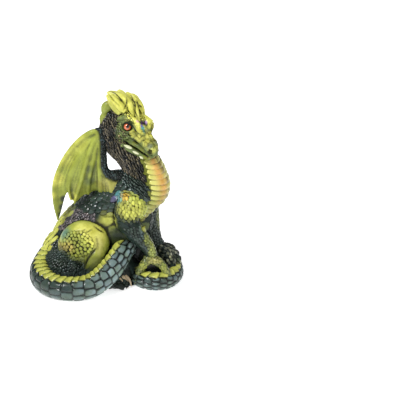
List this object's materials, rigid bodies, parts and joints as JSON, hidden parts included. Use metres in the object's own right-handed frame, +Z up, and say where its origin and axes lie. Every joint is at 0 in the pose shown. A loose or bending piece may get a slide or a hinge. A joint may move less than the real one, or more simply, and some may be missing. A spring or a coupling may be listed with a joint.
{
  "type": "dragon statue",
  "caption": "Seated dragon statue with half-folded wings, scaled neck, plated chest, set-in glass eyes and a tail looped round its feet.",
  "frame": {"origin": "centre of the overall box, at the level of the flat underside", "axes": "+Z up, +X to the right of the show side and -Y towards the viewer of the show side"},
  "size_m": [0.1633, 0.141, 0.2151],
  "materials": {
    "casting": "airbrushed green and yellow with dark washes, under gloss varnish",
    "eye": "polished, with an orange iris and a black pupil behind it"
  },
  "bodies": {
    "root": {"dragon": "casting", "right_eye": "eye", "left_eye": "eye"}
  },
  "joints": []
}
